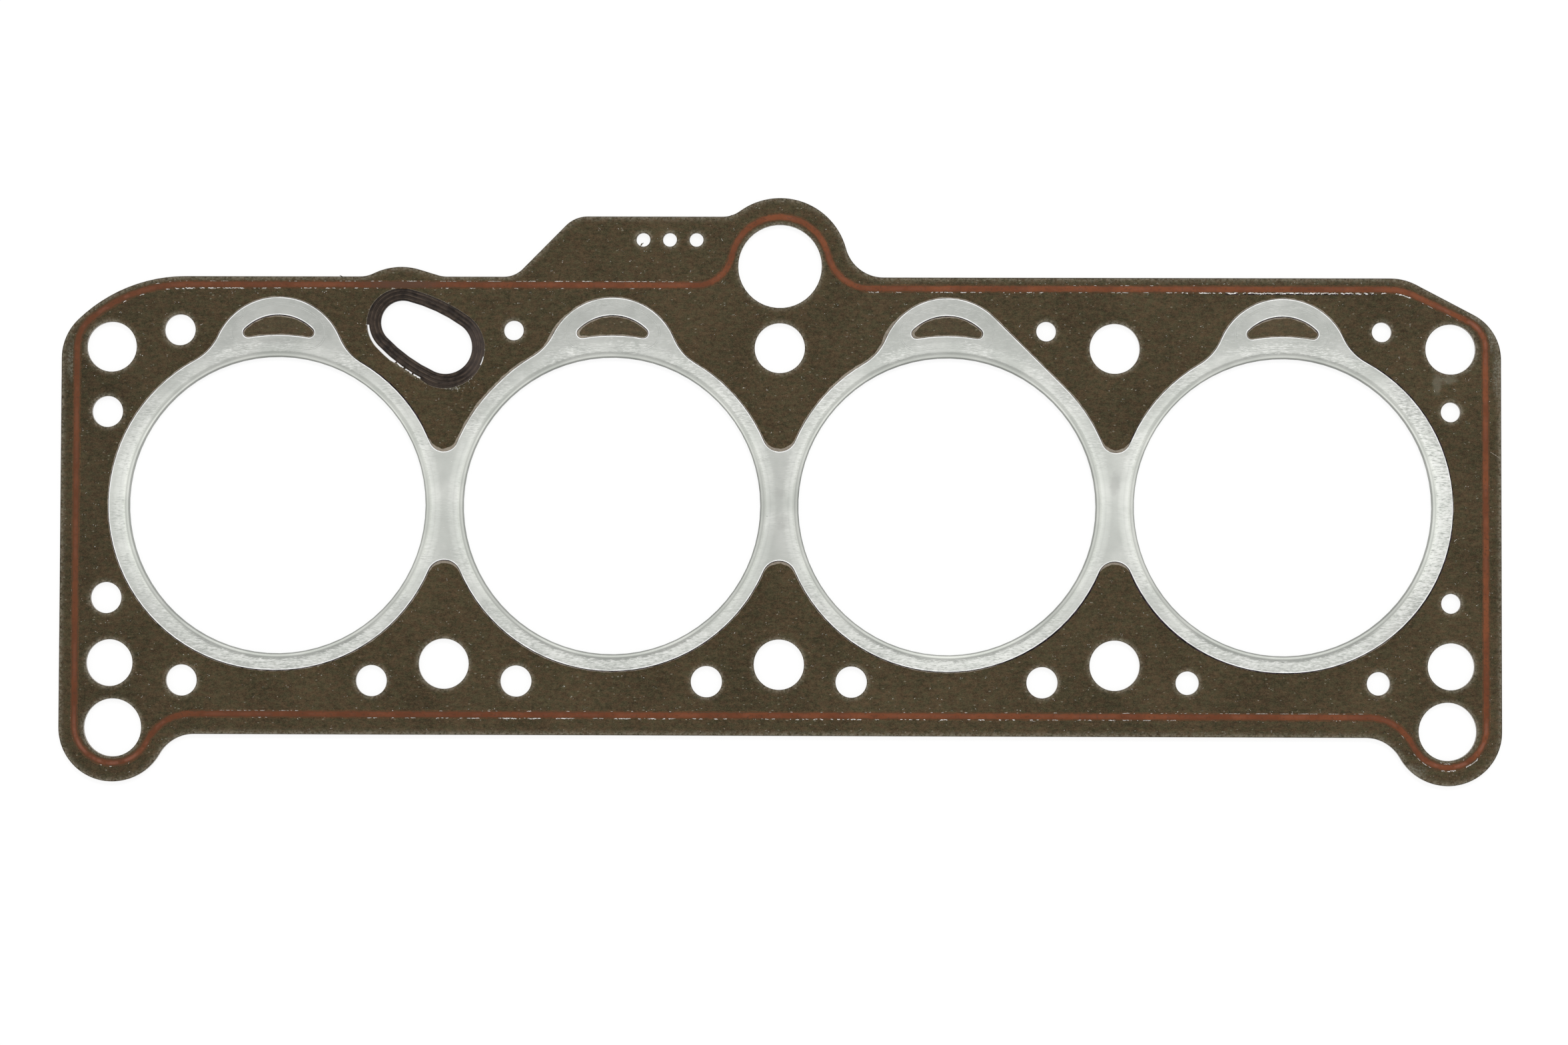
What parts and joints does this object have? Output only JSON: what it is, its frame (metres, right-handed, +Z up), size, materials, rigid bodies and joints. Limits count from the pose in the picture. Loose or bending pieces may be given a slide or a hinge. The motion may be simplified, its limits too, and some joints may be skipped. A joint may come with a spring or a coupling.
{
  "type": "cylinder head gasket",
  "caption": "Flat laminated cylinder head gasket with a tanged steel core, fibre facings, folded steel bore armour with ears, printed sealing beads and a ribbed oil passage seal.",
  "frame": {"origin": "midway between the two middle bores and between the two rows of head bolts, on the lowest face, which is the face that rests on the cylinder block", "axes": "+X along the row of bores towards the end with the straight corner slope, +Y towards the side with the marking tab and the oil feed hole, +Z up through the layers towards the cylinder head"},
  "size_m": [0.3784, 0.1539, 0.0016],
  "materials": {
    "core_steel": "plain cold rolled sheet",
    "upper_fibre": "matt fibre facing, faintly mottled",
    "lower_fibre": "matt fibre facing, faintly mottled",
    "armour_steel": "satin tin coated sheet with smudges",
    "upper_bead": "satin red brown printed silicone",
    "lower_bead": "satin red brown printed silicone",
    "seal_rubber": "satin dark brown black rubber"
  },
  "bodies": {
    "root": {"tanged_core": "core_steel", "upper_facing": "upper_fibre", "lower_facing": "lower_fibre", "bore_armour": "armour_steel", "upper_sealing_bead": "upper_bead", "lower_sealing_bead": "lower_bead", "oil_passage_seal": "seal_rubber"}
  },
  "joints": []
}
